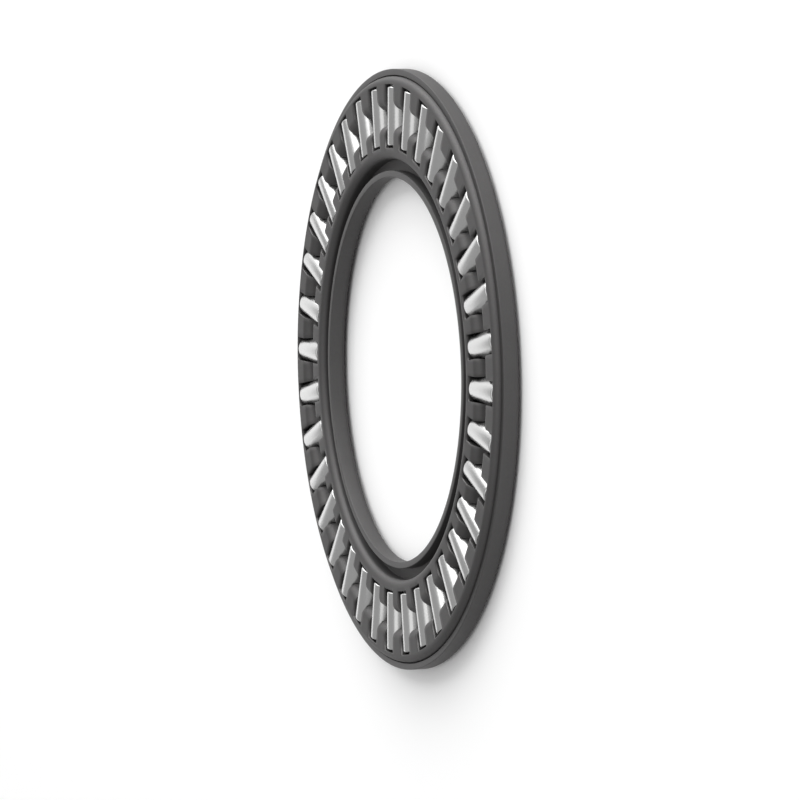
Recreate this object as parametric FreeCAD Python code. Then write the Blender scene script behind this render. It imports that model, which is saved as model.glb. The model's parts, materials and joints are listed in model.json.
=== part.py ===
import FreeCAD, Part
import math
import os

# Needle thrust bearing: a cage pressed from one steel sheet, with thirty-six needles in its pockets.
# Millimetres. The bearing lies flat, Z is its axis and the origin is at its middle.
# The front face, towards +Z, is the one on which both rims of the cage stand open.

# Cage, overall; its middle lies a little above the needles' axes, towards the front
bore_diameter = 30.05
outside_diameter = 46.85
cage_height = 1.70
sheet_thickness = 0.50
cage_rise = 0.10

# Cage, rims
outer_rim_height = 1.26
inner_rim_height = 1.40
rim_crevice = 0.06
groove_width = 0.90

# Cage, the wells that its bars are pressed down into; their middle lies nearer to the bore than the pockets'
well_length = 1.25
well_offset = 0.09
step_run = 0.39

# Outside radii of the bends
front_bend_radius = 0.54
step_bend_radius = 0.75
groove_bend_radius = 0.50
rim_fold_radius = 0.25

# Flats that each bend is drawn with: on the rings all the way round, and on the bars
ring_bend_flat_count = 1
bar_bend_flat_count = 2

# Share of the shorter neighbouring run that a bend may take
bend_share = 0.49

# Pockets: sheet left between them and the two walls, and the fit of a needle between its lips
outer_shoulder = 0.125
inner_shoulder = 0.375
pocket_end_gap = 0.17
pocket_side_gap = 0.03
pocket_lip_reach = 0.05

# Needles
needle_count = 36
needle_diameter = 2.00
first_needle_angle = 5.0

# How far a bar runs into the rings at its ends, so that they are one piece
bar_overlap = 0.10

# Everything below follows from the sizes above
axis_origin = FreeCAD.Vector(0, 0, 0)
axis_direction = FreeCAD.Vector(0, 0, 1)
half_sheet = sheet_thickness / 2
back_face = cage_rise - cage_height / 2
high_level = back_face + cage_height - half_sheet
low_level = back_face + half_sheet

outer_rim_radius = outside_diameter / 2 - half_sheet
outer_wall_radius = outer_rim_radius - sheet_thickness - rim_crevice
inner_rim_radius = bore_diameter / 2 + half_sheet
inner_wall_radius = inner_rim_radius + sheet_thickness + groove_width

pocket_start = inner_wall_radius + half_sheet + inner_shoulder
pocket_end = outer_wall_radius - half_sheet - outer_shoulder
pocket_middle = (pocket_start + pocket_end) / 2
pocket_length = pocket_end - pocket_start
pocket_width = needle_diameter - 2 * pocket_lip_reach
seat_width = needle_diameter + 2 * pocket_side_gap

well_radius = pocket_middle - well_offset
well_outer_radius = well_radius + well_length / 2
well_inner_radius = well_radius - well_length / 2
land_outer_radius = well_outer_radius + step_run
land_inner_radius = well_inner_radius - step_run
bar_outer_radius = (land_outer_radius + pocket_end) / 2
bar_inner_radius = (land_inner_radius + pocket_start) / 2

needle_radius = needle_diameter / 2
needle_length = pocket_length - 2 * pocket_end_gap
needle_start = pocket_start + pocket_end_gap
needle_pitch_angle = 360 / needle_count
bar_blank_width = 2 * pocket_end * math.sin(math.radians(needle_pitch_angle / 2))


def sheet_path():
    """Corners of the sheet's middle line, outer rim to inner rim: radius, height, outside bend, flats."""
    return [
        (outer_rim_radius, back_face + outer_rim_height, 0, 0),
        (outer_rim_radius, low_level, rim_fold_radius, ring_bend_flat_count),
        (outer_wall_radius, low_level, rim_fold_radius, ring_bend_flat_count),
        (outer_wall_radius, high_level, front_bend_radius, ring_bend_flat_count),
        (land_outer_radius, high_level, step_bend_radius, bar_bend_flat_count),
        (well_outer_radius, low_level, step_bend_radius, bar_bend_flat_count),
        (well_inner_radius, low_level, step_bend_radius, bar_bend_flat_count),
        (land_inner_radius, high_level, step_bend_radius, bar_bend_flat_count),
        (inner_wall_radius, high_level, front_bend_radius, ring_bend_flat_count),
        (inner_wall_radius, low_level, groove_bend_radius, ring_bend_flat_count),
        (inner_rim_radius, low_level, groove_bend_radius, ring_bend_flat_count),
        (inner_rim_radius, back_face + inner_rim_height, 0, 0),
    ]


def left_of(direction):
    """Unit vector to the left of a direction in the section plane."""
    return FreeCAD.Vector(-direction.z, 0, direction.x)


def sheet_side(side):
    """Points of one face of the sheet, bent at its outside corners; side 1 is the left face, -1 the right."""
    path = sheet_path()
    points = [FreeCAD.Vector(radius, 0, height) for radius, height, bend, flats in path]
    runs = [(after - before).normalize() for before, after in zip(points, points[1:])]
    corners = [points[0] + left_of(runs[0]) * side * half_sheet]
    bends = []
    for index in range(1, len(points) - 1):
        arriving = left_of(runs[index - 1])
        leaving = left_of(runs[index])
        mitre = (arriving + leaving) * (side * half_sheet / (1 + arriving.dot(leaving)))
        turns_left = arriving.dot(runs[index]) > 0
        is_outside = turns_left == (side < 0)
        corners.append(points[index] + mitre)
        bends.append(path[index][2:] if is_outside else (0, 0))
    corners.append(points[-1] + left_of(runs[-1]) * side * half_sheet)
    outline = [corners[0]]
    for index, (bend, flats) in enumerate(bends, start=1):
        outline += bend_points(*corners[index - 1:index + 2], bend, flats)
    return outline + [corners[-1]]


def bend_points(last, corner, following, bend, flats):
    """Points along one bend, from the run before it to the run after; with no flats it is a sharp corner."""
    if flats == 0:
        return [corner]
    to_last = last - corner
    to_next = following - corner
    room = bend_share * min(to_last.Length, to_next.Length)
    turn = math.pi - to_last.getAngle(to_next)
    tangent = min(bend * math.tan(turn / 2), room)
    before = to_last.normalize() * tangent
    after = to_next.normalize() * tangent
    centre = corner + (before + after) / (2 * math.sin(turn / 2) ** 2)
    first_spoke = corner + before - centre
    last_spoke = corner + after - centre
    points = []
    for step in range(flats + 1):
        angle = turn * step / flats
        spoke = first_spoke * math.sin(turn - angle) + last_spoke * math.sin(angle)
        points.append(centre + spoke / math.sin(turn))
    return points


def folded_section():
    """The W-shaped section of the cage as a face in the XZ plane."""
    outline = sheet_side(1) + sheet_side(-1)[::-1]
    return Part.Face(Part.makePolygon(outline + outline[:1]))


def centred_box(start, end, width, height):
    """A box between two radii along +X, centred on the X axis."""
    return Part.makeBox(end - start, width, height, FreeCAD.Vector(start, -width / 2, -height / 2))


def pocket_tool():
    """What the punch takes out for one needle: widest at the needle's axis, narrower towards both faces."""
    widest = seat_width / 2
    narrowing = (seat_width - pocket_width) / 2
    beyond = widest - 2 * narrowing
    section = [(widest, 0), (beyond, cage_height), (-beyond, cage_height)]
    section += [(-across, -height) for across, height in section]
    corners = [FreeCAD.Vector(pocket_start, across, height) for across, height in section]
    return Part.Face(Part.makePolygon(corners + corners[:1])).extrude(FreeCAD.Vector(pocket_length, 0, 0))


def needle_angles():
    """Where the needles stand round the cage, in degrees."""
    return [first_needle_angle + number * needle_pitch_angle for number in range(needle_count)]


def turned(shape, angle):
    """A copy of a shape turned about the bearing's axis."""
    copy = shape.copy()
    copy.rotate(axis_origin, axis_direction, angle)
    return copy


def make_rings(section):
    """The outer and the inner ring of the cage, each reaching to the middle of the lands beside the wells."""
    between = centred_box(bar_inner_radius, bar_outer_radius, bar_blank_width, 2 * cage_height)
    rings = section.cut(between).revolve(axis_origin, axis_direction, 360)
    tool = pocket_tool()
    return rings.cut([turned(tool, angle) for angle in needle_angles()])


def make_bar(section):
    """One bar of the cage along +X, pressed down into its well, with a pocket on each side."""
    start = bar_inner_radius - bar_overlap
    end = bar_outer_radius + bar_overlap
    strip = section.common(centred_box(start, end, bar_blank_width, 2 * cage_height))
    bar = strip.extrude(FreeCAD.Vector(0, bar_blank_width, 0))
    bar.translate(FreeCAD.Vector(0, -bar_blank_width / 2, 0))
    tool = pocket_tool()
    return bar.cut([turned(tool, side * needle_pitch_angle / 2) for side in (-1, 1)])


def make_cage():
    """The pressed sheet: two rings and a bar between each needle and the next."""
    section = folded_section()
    bar = make_bar(section)
    bars = [turned(bar, angle + needle_pitch_angle / 2) for angle in needle_angles()]
    return make_rings(section).fuse(bars).removeSplitter()


def make_needle():
    """One needle along +X at its place in the first pocket."""
    start = FreeCAD.Vector(needle_start, 0, 0)
    return Part.makeCylinder(needle_radius, needle_length, start, FreeCAD.Vector(1, 0, 0))


def make_parts():
    """Every piece of the bearing by name."""
    parts = {"cage": make_cage()}
    needle = make_needle()
    for number, angle in enumerate(needle_angles(), start=1):
        parts[f"needle_{number:02d}"] = turned(needle, angle)
    return parts


os.makedirs("parts", exist_ok=True)
for name, shape in make_parts().items():
    solid = shape.Solids[0]
    print(f"{name}: {len(shape.Solids)} solid, {solid.Volume:.3f} mm3, valid {solid.isValid()}")
    solid.exportStep(f"parts/{name}.step")
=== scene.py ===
"""Looks of a needle thrust bearing: a pressed steel cage and its ground steel needles, on a plain stage."""

import json
import math

import bmesh
import bpy
from mathutils import Matrix, Vector


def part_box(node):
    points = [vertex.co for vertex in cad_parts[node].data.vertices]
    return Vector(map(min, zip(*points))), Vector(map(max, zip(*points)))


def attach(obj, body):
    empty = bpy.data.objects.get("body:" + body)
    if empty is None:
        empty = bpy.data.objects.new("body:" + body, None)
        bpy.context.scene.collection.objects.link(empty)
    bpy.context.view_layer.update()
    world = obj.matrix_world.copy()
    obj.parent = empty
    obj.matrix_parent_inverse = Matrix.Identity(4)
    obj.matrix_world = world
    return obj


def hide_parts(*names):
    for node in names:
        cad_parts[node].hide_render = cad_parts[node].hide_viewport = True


bl_info = {
    "name": "Needle Thrust Bearing",
    "version": (1, 0, 0),
    "blender": (4, 5, 0),
    "location": "View3D > Sidebar > Bearing",
    "description": "Makes the cage, needles and stage of an axial needle bearing around its CAD frame",
    "category": "Mesh",
}

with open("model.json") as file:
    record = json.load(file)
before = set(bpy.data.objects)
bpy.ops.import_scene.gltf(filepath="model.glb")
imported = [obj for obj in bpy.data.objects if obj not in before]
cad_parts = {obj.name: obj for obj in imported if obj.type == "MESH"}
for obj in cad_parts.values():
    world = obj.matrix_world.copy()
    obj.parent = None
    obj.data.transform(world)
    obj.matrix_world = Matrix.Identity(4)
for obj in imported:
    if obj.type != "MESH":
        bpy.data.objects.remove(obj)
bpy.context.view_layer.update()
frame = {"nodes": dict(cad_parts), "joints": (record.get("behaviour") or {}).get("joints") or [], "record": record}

MM = 0.001
TURN = 2 * math.pi

# Decimals of a size in metres that is rounded to the micrometre
MICROMETRE_DECIMALS = 6

# What the frame gives: the cage's box, the bore and each needle's axis
cage_low, cage_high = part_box("cage")
OUTSIDE_DIAMETER = round(cage_high.x - cage_low.x, MICROMETRE_DECIMALS)
CAGE_HEIGHT = round(cage_high.z - cage_low.z, MICROMETRE_DECIMALS)
BACK_FACE = round(cage_low.z, MICROMETRE_DECIMALS)
NEEDLE_JOINTS = frame["joints"]
NEEDLE_COUNT = len(NEEDLE_JOINTS)
BORE_DIAMETER = 2 * frame["record"]["mounts"][0]["dims"]["r_mm"] * MM


def needle_extent(joint):
    """Length and diameter of a joint's needle, measured along and across its axis."""
    axis = Vector(joint["axis"])
    centre = Vector(joint["pos_m"])
    along, across = [], []
    for vertex in frame["nodes"][joint["child"]].data.vertices:
        offset = vertex.co - centre
        along.append(offset.dot(axis))
        across.append((offset - axis * offset.dot(axis)).length)
    length, diameter = max(along) - min(along), 2 * max(across)
    return round(length, MICROMETRE_DECIMALS), round(diameter, MICROMETRE_DECIMALS)


NEEDLE_LENGTH, NEEDLE_DIAMETER = needle_extent(NEEDLE_JOINTS[0])
NEEDLE_CIRCLE_RADIUS = Vector(NEEDLE_JOINTS[0]["pos_m"]).length
FLOOR_HEIGHT = -NEEDLE_DIAMETER / 2


def size(name, description, millimetres):
    """A length property with its default in millimetres."""
    return bpy.props.FloatProperty(
        name=name, description=description, default=millimetres * MM,
        min=0, precision=5, subtype="DISTANCE", unit="LENGTH",
    )


def share(name, description, default):
    """A property from 0 to 1."""
    return bpy.props.FloatProperty(
        name=name, description=description, default=default, min=0, max=1, subtype="FACTOR",
    )


def angle(name, description, degrees):
    """An angle property with its default in degrees."""
    return bpy.props.FloatProperty(
        name=name, description=description, default=math.radians(degrees), subtype="ANGLE", unit="ROTATION",
    )


def hex_text(name, description, default):
    """A colour property, written as an sRGB hex value."""
    return bpy.props.StringProperty(name=name, description=description, default=default)


class CageSettings(bpy.types.PropertyGroup):
    """Sizes of the folded sheet's section and the cage's finish."""

    sheet: size("Sheet", "Thickness of the steel sheet", 0.50)
    outer_rim: size("Outer rim", "Height of the folded outer rim above the back", 1.26)
    inner_rim: size("Inner rim", "Height of the inner rim above the back", 1.40)
    crevice: size("Crevice", "Gap between the outer rim and the wall that it is folded from", 0.06)
    groove: size("Groove", "Width of the groove behind the inner rim", 0.90)
    well_length: size("Well length", "Radial length of the bars' wells at the middle of the sheet", 1.25)
    well_offset: size("Well offset", "How much nearer to the bore the wells lie than the needles", 0.09)
    step_run: size("Step run", "Radial run of the step from the bars' lands to their wells", 0.39)
    front_bend: size("Front bend", "Outside radius of the bends at the edge of the front face", 0.54)
    step_bend: size("Step bend", "Outside radius of the bends in the bars", 0.80)
    groove_bend: size("Groove bend", "Outside radius of the bends under the groove", 0.50)
    rim_fold: size("Rim fold", "Outside radius of the outer rim's fold", 0.25)
    inside_bend: size("Inside bend", "Smallest inside radius of a bend", 0.04)
    sheared_edge: size("Sheared edge", "Rounding of the rims' cut edges", 0.05)
    pocket_edge: size("Pocket edge", "Rounding of the pockets' punched edges", 0.02)
    end_gap: size("End gap", "Gap at each end of a needle in its pocket", 0.17)
    side_gap: size("Side gap", "Gap beside a needle at its axis, where its pocket is widest", 0.03)
    lip_reach: size("Lip reach", "How far a pocket's lips reach past the needle's flank", 0.05)
    steel_hex: hex_text("Steel", "Colour of the blackened steel sheet", "#5A5959")
    worn_hex: hex_text("Rubbed steel", "Colour of the sheet where tumbling rubbed it brighter", "#646363")
    edge_hex: hex_text("Sheared steel", "Colour of the sheet where it was cut", "#5E5D5D")
    roughness: share("Roughness", "Roughness of the tumbled sheet", 0.62)
    edge_roughness: share("Edge roughness", "Roughness of the punched and trimmed edges", 0.5)


class NeedleSettings(bpy.types.PropertyGroup):
    """Shape of the needles' ends and their finish."""

    edge: size("Edge", "Radius of the rounded edge at each end", 0.14)
    crown: size("Crown", "Height of the slight dome on each end face", 0.015)
    steel_hex: hex_text("Steel", "Colour of the ground bearing steel", "#C8C8C7")
    shade_hex: hex_text("Steel shade", "Darker tone of the same steel in its faint cloudiness", "#C0C0C0")
    roughness: share("Roughness", "Roughness of the ground surface", 0.26)


class StageSettings(bpy.types.PropertyGroup):
    """The floor, the lights and the camera."""

    floor_hex: hex_text("Floor", "Colour of the floor", "#FBFBFB")
    floor_width: bpy.props.FloatProperty(
        name="Floor width", description="Width of the floor", default=6, min=1, unit="LENGTH",
    )
    brightness: bpy.props.FloatProperty(
        name="Brightness", description="Radiance of the even light from all round; 1 is white",
        default=0.50, min=0,
    )
    elevation: angle("Elevation", "Camera's angle above the bearing's face", 19.92)
    azimuth: angle("Azimuth", "Camera's direction round the bearing's axis, from -Y towards +X", 90.63)
    roll: angle("Roll", "Camera's roll, which stands the lying bearing upright in the picture", -91.85)
    distance: size("Distance", "From the camera to the point that it aims at", 312.4)
    lens: bpy.props.FloatProperty(
        name="Lens", description="Focal length of the camera in millimetres", default=180, min=10,
    )


# The camera aims a little below the middle of the bearing, as seen in the picture
AIM_POINT = Vector((0.16, -2.38, 0.15)) * MM

# Share of the camera's distance within which nothing is drawn
CLIP_SHARE = 0.01

# Softboxes: place, width and height in metres, and radiance, of which 1 shows as white.
# The two key lights stand on the side that is up in the picture, where the photograph's light comes from.
SOFTBOXES = {
    "low_key_softbox": ((0, 0.77, 0.21), 1.60, 0.30, 4.4),
    "high_key_softbox": ((0, 0.595, 0.535), 1.30, 0.42, 2.1),
    "front_softbox": ((0.46, 0, 0.655), 1.00, 0.50, 0.80),
    "low_back_panel": ((-0.77, 0.13, 0.20), 1.10, 0.40, 0.85),
}
BEARING_MIDDLE = Vector((0, 0, 0))
FLOOR_CELLS = 8

# How finely curves are drawn, and the columns of the cage's mesh across a pocket and across a bar
BEND_STEPS = 6
EDGE_STEPS = 3
POCKET_COLUMNS = 6
BAR_COLUMNS = 5
NEEDLE_SIDES = 72
NEEDLE_EDGE_STEPS = 5
NEEDLE_FACE_STEPS = 3

# Depths of the rows on a pocket's wall, as shares of the sheet between its two rounded edges
WALL_ROWS = (0, 0.33, 0.67, 1)

# Scale of a line pattern along its lines, where it is 1 across them
ALONG_ROLLING = 0.04
ALONG_SHEAR = 0.08
ALONG_GRINDING = 0.03

# How far a surface's roughness strays below and above its middle value
TUMBLED_SPREAD = (0.05, 0.06)
GROUND_SPREAD = (0.02, 0.02)

# Least and greatest roughness of the floor
BOARD_ROUGHNESS = (0.85, 0.95)


def sheet_path(cage):
    """The sheet's middle line from the outer rim to the inner rim: places and outside bend radii."""
    half = cage.sheet / 2
    low = BACK_FACE + half
    high = BACK_FACE + CAGE_HEIGHT - half
    outer_rim = OUTSIDE_DIAMETER / 2 - half
    outer_wall = outer_rim - cage.sheet - cage.crevice
    inner_rim = BORE_DIAMETER / 2 + half
    inner_wall = inner_rim + cage.sheet + cage.groove
    well_outer = NEEDLE_CIRCLE_RADIUS - cage.well_offset + cage.well_length / 2
    well_inner = NEEDLE_CIRCLE_RADIUS - cage.well_offset - cage.well_length / 2
    return [
        (Vector((outer_rim, BACK_FACE + cage.outer_rim)), 0),
        (Vector((outer_rim, low)), cage.rim_fold),
        (Vector((outer_wall, low)), cage.rim_fold),
        (Vector((outer_wall, high)), cage.front_bend),
        (Vector((well_outer + cage.step_run, high)), cage.step_bend),
        (Vector((well_outer, low)), cage.step_bend),
        (Vector((well_inner, low)), cage.step_bend),
        (Vector((well_inner - cage.step_run, high)), cage.step_bend),
        (Vector((inner_wall, high)), cage.front_bend),
        (Vector((inner_wall, low)), cage.groove_bend),
        (Vector((inner_rim, low)), cage.groove_bend),
        (Vector((inner_rim, BACK_FACE + cage.inner_rim)), 0),
    ]


def sheet_side(cage, side):
    """Corners of one face of the sheet and their bend radii; side is 1 for the back, -1 for the front."""
    path = sheet_path(cage)
    points = [place for place, bend in path]
    lefts = [(after - before).normalized().orthogonal() for before, after in zip(points, points[1:])]
    reach = side * cage.sheet / 2
    corners = [(points[0] + lefts[0] * reach, cage.sheared_edge)]
    for index in range(1, len(points) - 1):
        arriving, leaving = lefts[index - 1], lefts[index]
        mitre = (arriving + leaving) * (reach / (1 + arriving.dot(leaving)))
        turns_left = arriving.dot(points[index + 1] - points[index]) > 0
        is_outside = turns_left == (side < 0)
        outside = path[index][1]
        bend = outside if is_outside else max(outside - cage.sheet, cage.inside_bend)
        corners.append((points[index] + mitre, bend))
    corners.append((points[-1] + lefts[-1] * reach, cage.sheared_edge))
    return corners


def bend_arc(before, corner, after, bend, steps):
    """Points round one bend of an outline, from the run before it to the run after it."""
    arriving = (before - corner).normalized()
    leaving = (after - corner).normalized()
    turn = math.pi - arriving.angle(leaving)
    tangent = bend * math.tan(turn / 2)
    centre = corner + (arriving + leaving) * tangent / (2 * math.sin(turn / 2) ** 2)
    first = corner + arriving * tangent - centre
    last = corner + leaving * tangent - centre
    arc = []
    for step in range(steps + 1):
        part = turn * step / steps
        arc.append(centre + (first * math.sin(turn - part) + last * math.sin(part)) / math.sin(turn))
    return arc


def with_row_at(side_points, radius):
    """A face's points with one more where its front level crosses a radius, and that point's index."""
    for index in range(len(side_points) - 1):
        here, after = side_points[index], side_points[index + 1]
        if here.x >= radius > after.x and min(here.y, after.y) > 0:
            place = here.lerp(after, (here.x - radius) / (here.x - after.x))
            return side_points[:index + 1] + [place] + side_points[index + 1:], index + 1
    raise RuntimeError("the sheet doesn't reach the end of the pockets")


def rounded_sides(cage):
    """The back and front faces of the sheet as points that pair off, and the rows where the pockets end."""
    back, front = sheet_side(cage, 1), sheet_side(cage, -1)
    loop = back + front[::-1]
    rim_ends = {0, len(back) - 1, len(back), len(loop) - 1}
    arcs = []
    for index, (corner, bend) in enumerate(loop):
        steps = EDGE_STEPS if index in rim_ends else BEND_STEPS
        arcs.append(bend_arc(loop[index - 1][0], corner, loop[(index + 1) % len(loop)][0], bend, steps))
    back_points = [place for arc in arcs[:len(back)] for place in arc]
    front_points = [place for arc in arcs[len(back):] for place in arc][::-1]
    reach = NEEDLE_LENGTH / 2 + cage.end_gap + cage.pocket_edge
    sides = []
    for points in (back_points, front_points):
        points, outer_row = with_row_at(points, NEEDLE_CIRCLE_RADIUS + reach)
        points, inner_row = with_row_at(points, NEEDLE_CIRCLE_RADIUS - reach)
        sides.append((points, outer_row, inner_row))
    (back_points, *back_rows), (front_points, *front_rows) = sides
    if back_rows != front_rows:
        raise RuntimeError("the two faces of the sheet don't pair off at the pockets")
    return back_points, front_points, *back_rows


def half_width(cage, height):
    """Half the width of a pocket at a height: widest at the needle's axis, narrower towards both faces."""
    narrowing = (cage.side_gap + cage.lip_reach) * abs(height) / (CAGE_HEIGHT / 2)
    return NEEDLE_DIAMETER / 2 + cage.side_gap - narrowing


def needle_heading(number):
    """The angle at which a needle lies, in radians."""
    place = NEEDLE_JOINTS[number]["pos_m"]
    return math.atan2(place[1], place[0]) % TURN


def smooth_mesh(shape, mesh):
    """Writes a shape into a mesh, with its normals outwards and its faces shaded smooth, and frees it."""
    bmesh.ops.recalc_face_normals(shape, faces=shape.faces[:])
    for face in shape.faces:
        face.smooth = True
    shape.to_mesh(mesh)
    shape.free()
    return mesh


class CageMesh:
    """Gathers the cage's vertices and faces: a turned sheet with a pocket for each needle."""

    def __init__(self, cage):
        self.cage = cage
        self.back, self.front, self.outer_row, self.inner_row = rounded_sides(cage)
        self.rows = self.back + self.front[::-1]
        self.columns = NEEDLE_COUNT * (POCKET_COLUMNS + BAR_COLUMNS)
        reach = NEEDLE_LENGTH / 2 + cage.end_gap
        self.pocket_start = NEEDLE_CIRCLE_RADIUS - reach
        self.pocket_end = NEEDLE_CIRCLE_RADIUS + reach
        self.vertices = []
        self.faces = []
        self.cut_faces = []

    def within_pocket(self, radius):
        """The radius itself, or the nearer end of the pockets where it lies beyond them."""
        return min(max(radius, self.pocket_start), self.pocket_end)

    def swing(self, place, share_across, edge):
        """The angle from a needle's heading to a place across its pocket; a share of 1 is the wall."""
        across = share_across * (half_width(self.cage, place.y) + edge)
        return math.asin(across / self.within_pocket(place.x))

    def pocket_point(self, place, share_across, heading, edge):
        """A point of a pocket's outline in a row of the sheet."""
        turned_by = heading + self.swing(place, share_across, edge)
        return place.x * math.cos(turned_by), place.x * math.sin(turned_by), place.y

    def add_rows(self):
        """Every row of the sheet's outline all the way round, lined up with the pockets' edges."""
        edge = self.cage.pocket_edge
        for place in self.rows:
            swing = self.swing(place, 1, edge)
            for number in range(NEEDLE_COUNT):
                heading = needle_heading(number)
                for column in range(POCKET_COLUMNS + 1):
                    share_across = 2 * column / POCKET_COLUMNS - 1
                    self.vertices.append(self.pocket_point(place, share_across, heading, edge))
                bar_angle = TURN / NEEDLE_COUNT - 2 * swing
                for column in range(1, BAR_COLUMNS):
                    turned_by = heading + swing + bar_angle * column / BAR_COLUMNS
                    across = (place.x * math.cos(turned_by), place.x * math.sin(turned_by))
                    self.vertices.append((*across, place.y))

    def vertex(self, row, column):
        """Index of a row's vertex in a column."""
        return (row % len(self.rows)) * self.columns + column % self.columns

    def is_open(self, row, column):
        """Whether the cell after a row and a column lies in a pocket."""
        if column % (POCKET_COLUMNS + BAR_COLUMNS) >= POCKET_COLUMNS:
            return False
        # The front face's rows follow the back's and run the other way
        count = len(self.back)
        depth = row if row < count else 2 * count - 2 - row
        return self.outer_row <= depth < self.inner_row

    def add_skin(self):
        """The sheet's two faces and its rim ends, left open at the pockets."""
        ends = {len(self.back) - 1, len(self.rows) - 1}
        for row in range(len(self.rows)):
            for column in range(self.columns):
                if self.is_open(row, column):
                    continue
                corners = [(row, column), (row + 1, column), (row + 1, column + 1), (row, column + 1)]
                self.cut_faces.append(row in ends)
                self.faces.append([self.vertex(*corner) for corner in corners])

    def pocket_loop(self):
        """The pocket's outline as pairs of depth along the sheet and column, once round."""
        depths = range(self.outer_row, self.inner_row)
        across = range(POCKET_COLUMNS)
        loop = [(depth, 0) for depth in depths]
        loop += [(self.inner_row, column) for column in across]
        loop += [(depth + 1, POCKET_COLUMNS) for depth in reversed(depths)]
        loop += [(self.outer_row, column + 1) for column in reversed(across)]
        return loop

    def add_pocket_wall(self, number):
        """The punched wall of one pocket, from the back face through the sheet to the front face."""
        heading = needle_heading(number)
        loop = self.pocket_loop()
        first_column = number * (POCKET_COLUMNS + BAR_COLUMNS)
        last_row = len(self.rows) - 1
        rings = [[self.vertex(depth, first_column + column) for depth, column in loop]]
        edge_share = self.cage.pocket_edge / self.cage.sheet
        for wall_share in WALL_ROWS:
            through = edge_share + (1 - 2 * edge_share) * wall_share
            ring = []
            for depth, column in loop:
                place = self.back[depth].lerp(self.front[depth], through)
                place.x = self.within_pocket(place.x)
                ring.append(len(self.vertices))
                self.vertices.append(self.pocket_point(place, 2 * column / POCKET_COLUMNS - 1, heading, 0))
            rings.append(ring)
        rings.append([self.vertex(last_row - depth, first_column + column) for depth, column in loop])
        for ring, after in zip(rings, rings[1:]):
            for index in range(len(loop)):
                following = (index + 1) % len(loop)
                self.cut_faces.append(True)
                self.faces.append([ring[index], ring[following], after[following], after[index]])

    def build(self, name):
        """The finished mesh, with the cut faces on its second material slot."""
        self.add_rows()
        self.add_skin()
        for number in range(NEEDLE_COUNT):
            self.add_pocket_wall(number)
        mesh = bpy.data.meshes.new(name)
        mesh.from_pydata(self.vertices, [], self.faces)
        mesh.polygons.foreach_set("material_index", [int(is_cut) for is_cut in self.cut_faces])
        shape = bmesh.new()
        shape.from_mesh(mesh)
        loose = [vertex for vertex in shape.verts if not vertex.link_faces]
        bmesh.ops.delete(shape, geom=loose, context="VERTS")
        return smooth_mesh(shape, mesh)


def needle_profile(needle):
    """Half outline of a needle from the middle of one end face to the middle of the other."""
    half_length, radius = NEEDLE_LENGTH / 2, NEEDLE_DIAMETER / 2
    face_radius = radius - needle.edge
    quarter = []
    for step in range(1, NEEDLE_FACE_STEPS + 1):
        reach = face_radius * step / NEEDLE_FACE_STEPS
        quarter.append((half_length - needle.crown * (reach / face_radius) ** 2, reach))
    corner = half_length - needle.crown - needle.edge
    for step in range(1, NEEDLE_EDGE_STEPS + 1):
        part = math.pi / 2 * step / NEEDLE_EDGE_STEPS
        quarter.append((corner + needle.edge * math.cos(part), face_radius + needle.edge * math.sin(part)))
    return quarter + [(-along, reach) for along, reach in reversed(quarter)]


def needle_mesh(name, needle):
    """A needle with rounded edges, turned about the X axis."""
    shape = bmesh.new()
    rings = []
    for along, reach in needle_profile(needle):
        ring = []
        for side in range(NEEDLE_SIDES):
            turned_by = TURN * side / NEEDLE_SIDES
            ring.append(shape.verts.new((along, reach * math.cos(turned_by), reach * math.sin(turned_by))))
        rings.append(ring)
    for ring, after in zip(rings, rings[1:]):
        for side in range(NEEDLE_SIDES):
            following = (side + 1) % NEEDLE_SIDES
            shape.faces.new((ring[side], ring[following], after[following], after[side]))
    for ring, along in ((rings[0], NEEDLE_LENGTH / 2), (rings[-1], -NEEDLE_LENGTH / 2)):
        tip = shape.verts.new((along, 0, 0))
        for side in range(NEEDLE_SIDES):
            shape.faces.new((tip, ring[side], ring[(side + 1) % NEEDLE_SIDES]))
    return smooth_mesh(shape, bpy.data.meshes.new(name))


def linear(hex_value):
    """The linear colour of an sRGB hex value, as a shader takes it."""
    channels = [int(hex_value[start:start + 2], 16) / 255 for start in (1, 3, 5)]
    straight = [c / 12.92 if c <= 0.04045 else ((c + 0.055) / 1.055) ** 2.4 for c in channels]
    return (*straight, 1)


def add_node(tree, kind, inputs=None, **settings):
    """Adds a node; inputs maps its sockets to plain values or to the sockets that feed them."""
    node = tree.nodes.new(kind)
    for name, value in settings.items():
        setattr(node, name, value)
    for socket, value in (inputs or {}).items():
        if isinstance(value, bpy.types.NodeSocket):
            tree.links.new(value, node.inputs[socket])
        else:
            node.inputs[socket].default_value = value
    return node


def new_material(name):
    """An empty node material and its tree."""
    material = bpy.data.materials.new(name)
    material.use_nodes = True
    material.node_tree.nodes.clear()
    return material, material.node_tree


def per_metre(millimetres):
    """The scale that gives a pattern cells of a real size."""
    return 1 / (millimetres * MM)


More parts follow.
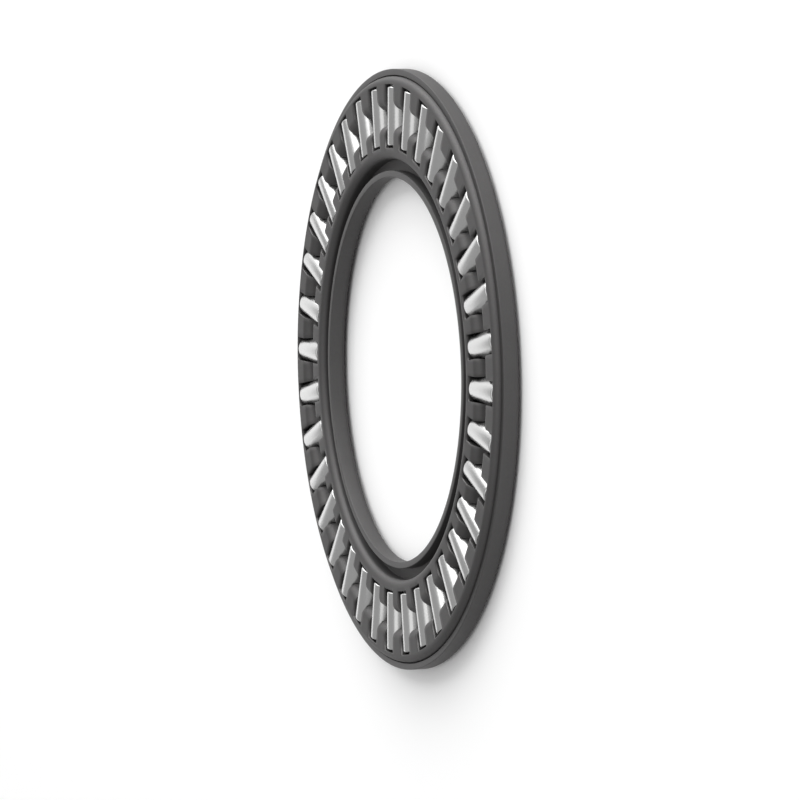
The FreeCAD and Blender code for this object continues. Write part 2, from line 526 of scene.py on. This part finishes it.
def blackened_sheet_steel(cage):
    """Cold-rolled steel sheet, deep drawn, case-hardened to a dark grey and tumbled.

    The eye sees an even, satin dark grey with a soft sheen, very faint rolling lines along one direction
    of the blank, fine tumbling grain, and slightly brighter rubbed patches.
    """
    material, tree = new_material("blackened_cold_rolled_sheet_steel")
    place = add_node(tree, "ShaderNodeTexCoord").outputs["Object"]
    # Rolling lines are 0.02 mm apart on the real sheet and drawn at 0.12 mm to show
    stretched = add_node(tree, "ShaderNodeMapping", {"Vector": place, "Scale": (ALONG_ROLLING, 1, 1)})
    rolling = add_node(tree, "ShaderNodeTexNoise", {
        "Vector": stretched.outputs["Vector"], "Scale": per_metre(0.12), "Detail": 3.0, "Roughness": 0.6,
    })
    # Tumbling grain is about 0.05 mm on the real cage and drawn at 0.1 mm to show
    grain = add_node(tree, "ShaderNodeTexNoise", {
        "Vector": place, "Scale": per_metre(0.10), "Detail": 2.0, "Roughness": 0.55,
    })
    # Cloudy tone of the hardened skin, in patches of a few millimetres
    cloud = add_node(tree, "ShaderNodeTexNoise", {
        "Vector": place, "Scale": per_metre(4.0), "Detail": 3.0, "Roughness": 0.5,
    })
    tone = add_node(tree, "ShaderNodeMix", {
        "Factor": cloud.outputs["Fac"], 6: linear(cage.steel_hex), 7: linear(cage.worn_hex),
    }, data_type="RGBA", clamp_factor=True)
    # The rolling lines change the tone by a tenth
    lined = add_node(tree, "ShaderNodeMix", {
        "Factor": 0.10, 6: tone.outputs[2], 7: rolling.outputs["Color"],
    }, data_type="RGBA", blend_type="SOFT_LIGHT")
    smoother, rougher = TUMBLED_SPREAD
    sheen = add_node(tree, "ShaderNodeMapRange", {
        "Value": grain.outputs["Fac"],
        "To Min": cage.roughness - smoother, "To Max": cage.roughness + rougher,
    })
    height = add_node(tree, "ShaderNodeMath", {
        0: grain.outputs["Fac"], 1: rolling.outputs["Fac"],
    }, operation="ADD")
    relief = add_node(tree, "ShaderNodeBump", {
        "Height": height.outputs[0], "Strength": 0.22, "Distance": 0.006 * MM,
    })
    shader = add_node(tree, "ShaderNodeBsdfPrincipled", {
        "Base Color": lined.outputs[2], "Metallic": 1.0, "Roughness": sheen.outputs["Result"],
        "Normal": relief.outputs["Normal"],
    })
    add_node(tree, "ShaderNodeOutputMaterial", {"Surface": shader.outputs["BSDF"]})
    return material


def sheared_sheet_steel(cage):
    """The same sheet where it was punched and trimmed.

    The eye sees a slightly lighter, rougher band with fine shear lines that run through the thickness.
    """
    material, tree = new_material("punched_edge_of_sheet_steel")
    place = add_node(tree, "ShaderNodeTexCoord").outputs["Object"]
    # Shear lines run through the sheet; they are about 0.02 mm apart and drawn at 0.08 mm to show
    stretched = add_node(tree, "ShaderNodeMapping", {"Vector": place, "Scale": (1, 1, ALONG_SHEAR)})
    lines = add_node(tree, "ShaderNodeTexNoise", {
        "Vector": stretched.outputs["Vector"], "Scale": per_metre(0.08), "Detail": 2.0, "Roughness": 0.6,
    })
    tone = add_node(tree, "ShaderNodeMix", {
        "Factor": lines.outputs["Fac"], 6: linear(cage.steel_hex), 7: linear(cage.edge_hex),
    }, data_type="RGBA")
    relief = add_node(tree, "ShaderNodeBump", {
        "Height": lines.outputs["Fac"], "Strength": 0.35, "Distance": 0.008 * MM,
    })
    shader = add_node(tree, "ShaderNodeBsdfPrincipled", {
        "Base Color": tone.outputs[2], "Metallic": 1.0, "Roughness": cage.edge_roughness,
        "Normal": relief.outputs["Normal"],
    })
    add_node(tree, "ShaderNodeOutputMaterial", {"Surface": shader.outputs["BSDF"]})
    return material


def ground_bearing_steel(needle):
    """Through-hardened bearing steel, centreless ground and superfinished.

    The eye sees a bright satin bar, whose soft reflections are a little drawn out along it by the fine
    grinding lines that run round it.
    """
    material, tree = new_material("ground_bearing_steel")
    place = add_node(tree, "ShaderNodeTexCoord").outputs["Object"]
    # Grinding lines run round the needle; they are 0.005 mm apart and drawn at 0.06 mm to show
    stretched = add_node(tree, "ShaderNodeMapping", {
        "Vector": place, "Scale": (1, ALONG_GRINDING, ALONG_GRINDING),
    })
    lines = add_node(tree, "ShaderNodeTexNoise", {
        "Vector": stretched.outputs["Vector"], "Scale": per_metre(0.06), "Detail": 2.0, "Roughness": 0.5,
    })
    # Faint cloudiness in patches of a needle's width
    cloud = add_node(tree, "ShaderNodeTexNoise", {"Vector": place, "Scale": per_metre(1.5), "Detail": 2.0})
    tone = add_node(tree, "ShaderNodeMix", {
        "Factor": cloud.outputs["Fac"], 6: linear(needle.shade_hex), 7: linear(needle.steel_hex),
    }, data_type="RGBA")
    smoother, rougher = GROUND_SPREAD
    sheen = add_node(tree, "ShaderNodeMapRange", {
        "Value": lines.outputs["Fac"],
        "To Min": needle.roughness - smoother, "To Max": needle.roughness + rougher,
    })
    relief = add_node(tree, "ShaderNodeBump", {
        "Height": lines.outputs["Fac"], "Strength": 0.03, "Distance": 0.001 * MM,
    })
    shader = add_node(tree, "ShaderNodeBsdfPrincipled", {
        "Base Color": tone.outputs[2], "Metallic": 1.0, "Roughness": sheen.outputs["Result"],
        "Normal": relief.outputs["Normal"],
    })
    add_node(tree, "ShaderNodeOutputMaterial", {"Surface": shader.outputs["BSDF"]})
    return material


def matt_board(stage):
    """Smooth white board with a matt painted face.

    The eye sees an even white ground with only the softest mottling.
    """
    material, tree = new_material("matt_white_board")
    place = add_node(tree, "ShaderNodeTexCoord").outputs["Object"]
    # Soft mottling of the paint in patches of about 40 mm
    mottle = add_node(tree, "ShaderNodeTexNoise", {"Vector": place, "Scale": per_metre(40), "Detail": 2.0})
    smoothest, roughest = BOARD_ROUGHNESS
    sheen = add_node(tree, "ShaderNodeMapRange", {
        "Value": mottle.outputs["Fac"], "To Min": smoothest, "To Max": roughest,
    })
    shader = add_node(tree, "ShaderNodeBsdfPrincipled", {
        "Base Color": linear(stage.floor_hex), "Roughness": sheen.outputs["Result"],
        "Specular IOR Level": 0.2,
    })
    add_node(tree, "ShaderNodeOutputMaterial", {"Surface": shader.outputs["BSDF"]})
    return material


def show(name, mesh, materials):
    """Puts a mesh into the scene with its materials."""
    piece = bpy.data.objects.new(name, mesh)
    bpy.context.scene.collection.objects.link(piece)
    for material in materials:
        mesh.materials.append(material)
    return piece


class BEARING_OT_cage(bpy.types.Operator):
    """Make the pressed steel cage with its folded rims and punched pockets"""

    bl_idname = "bearing.make_cage"
    bl_label = "Make Cage"

    def execute(self, context):
        settings = context.scene.bearing_cage
        mesh = CageMesh(settings).build("pressed_cage")
        steels = [blackened_sheet_steel(settings), sheared_sheet_steel(settings)]
        cage = show("pressed_cage", mesh, steels)
        flats = cage.modifiers.new("flat_faces_stay_flat", "WEIGHTED_NORMAL")
        flats.mode = "FACE_AREA_WITH_ANGLE"
        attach(cage, "cage")
        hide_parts("cage")
        return {"FINISHED"}


class BEARING_OT_needles(bpy.types.Operator):
    """Make the ground steel needles, each on its own axis in its pocket"""

    bl_idname = "bearing.make_needles"
    bl_label = "Make Needles"

    def execute(self, context):
        settings = context.scene.bearing_needles
        steel = ground_bearing_steel(settings)
        for joint in NEEDLE_JOINTS:
            name = "ground_" + joint["child"]
            needle = show(name, needle_mesh(name, settings), [steel])
            turned_by = Vector(joint["axis"]).to_track_quat("X", "Z").to_matrix().to_4x4()
            needle.matrix_world = Matrix.Translation(joint["pos_m"]) @ turned_by
            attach(needle, joint["child"])
            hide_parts(joint["child"])
        return {"FINISHED"}


def soft_light(name, place, width, height, radiance):
    """A soft rectangular light that faces the bearing; a radiance of 1 shows as white."""
    lamp = bpy.data.lights.new(name, "AREA")
    lamp.shape = "RECTANGLE"
    lamp.size, lamp.size_y = width, height
    lamp.energy = radiance * math.pi * width * height
    light = bpy.data.objects.new(name, lamp)
    light.location = place
    light.rotation_mode = "QUATERNION"
    light.rotation_quaternion = (BEARING_MIDDLE - Vector(place)).to_track_quat("-Z", "Y")
    light.visible_camera = False
    bpy.context.scene.collection.objects.link(light)


class BEARING_OT_stage(bpy.types.Operator):
    """Make the plain floor, the soft lights and the camera"""

    bl_idname = "bearing.make_stage"
    bl_label = "Make Stage"

    def execute(self, context):
        stage = context.scene.bearing_stage
        self.make_floor(stage)
        self.make_lights(context.scene, stage)
        self.make_camera(context.scene, stage)
        context.scene.view_settings.view_transform = "Standard"
        return {"FINISHED"}

    def make_floor(self, stage):
        """The plain board that the bearing lies on."""
        shape = bmesh.new()
        bmesh.ops.create_grid(
            shape, x_segments=FLOOR_CELLS, y_segments=FLOOR_CELLS, size=stage.floor_width / 2,
        )
        mesh = bpy.data.meshes.new("floor")
        shape.to_mesh(mesh)
        shape.free()
        floor = show("floor", mesh, [matt_board(stage)])
        floor.location.z = FLOOR_HEIGHT

    def make_lights(self, scene, stage):
        """Even light from all round, and the softboxes."""
        world = bpy.data.worlds.new("studio")
        world.use_nodes = True
        background = world.node_tree.nodes["Background"]
        background.inputs["Color"].default_value = (1, 1, 1, 1)
        background.inputs["Strength"].default_value = stage.brightness
        scene.world = world
        for name, (place, width, height, radiance) in SOFTBOXES.items():
            soft_light(name, place, width, height, radiance)

    def make_camera(self, scene, stage):
        """The camera along the photograph's line of sight, rolled so that the lying ring stands upright."""
        level = math.cos(stage.elevation)
        back = Vector((
            math.sin(stage.azimuth) * level, -math.cos(stage.azimuth) * level, math.sin(stage.elevation),
        ))
        camera = bpy.data.objects.new("camera", bpy.data.cameras.new("camera"))
        camera.data.lens = stage.lens
        camera.data.clip_start = stage.distance * CLIP_SHARE
        camera.rotation_mode = "QUATERNION"
        unrolled = (-back).to_track_quat("-Z", "Y")
        rolled = Matrix.Rotation(stage.roll, 3, "Z").to_quaternion()
        camera.rotation_quaternion = unrolled @ rolled
        camera.location = AIM_POINT + back * stage.distance
        scene.collection.objects.link(camera)
        scene.camera = camera


class BEARING_PT_panel(bpy.types.Panel):
    """Sidebar panel with the bearing's operators and settings"""

    bl_idname = "BEARING_PT_panel"
    bl_label = "Needle Thrust Bearing"
    bl_space_type = "VIEW_3D"
    bl_region_type = "UI"
    bl_category = "Bearing"

    def draw(self, context):
        for operator, settings, group in PANEL_ROWS:
            box = self.layout.box()
            box.operator(operator.bl_idname)
            for name in group.__annotations__:
                box.prop(getattr(context.scene, settings), name)


# Each operator, the property of the scene that holds its settings, and their group
PANEL_ROWS = (
    (BEARING_OT_cage, "bearing_cage", CageSettings),
    (BEARING_OT_needles, "bearing_needles", NeedleSettings),
    (BEARING_OT_stage, "bearing_stage", StageSettings),
)


def register():
    """Registers the settings, the operators and the panel."""
    for operator, settings, group in PANEL_ROWS:
        bpy.utils.register_class(group)
        setattr(bpy.types.Scene, settings, bpy.props.PointerProperty(type=group))
        bpy.utils.register_class(operator)
    bpy.utils.register_class(BEARING_PT_panel)


def unregister():
    """Takes away what register added."""
    bpy.utils.unregister_class(BEARING_PT_panel)
    for operator, settings, group in reversed(PANEL_ROWS):
        bpy.utils.unregister_class(operator)
        delattr(bpy.types.Scene, settings)
        bpy.utils.unregister_class(group)


def main():
    """Makes the whole scene."""
    register()
    bpy.ops.bearing.make_cage()
    bpy.ops.bearing.make_needles()
    bpy.ops.bearing.make_stage()


if __name__ == "__main__":
    main()
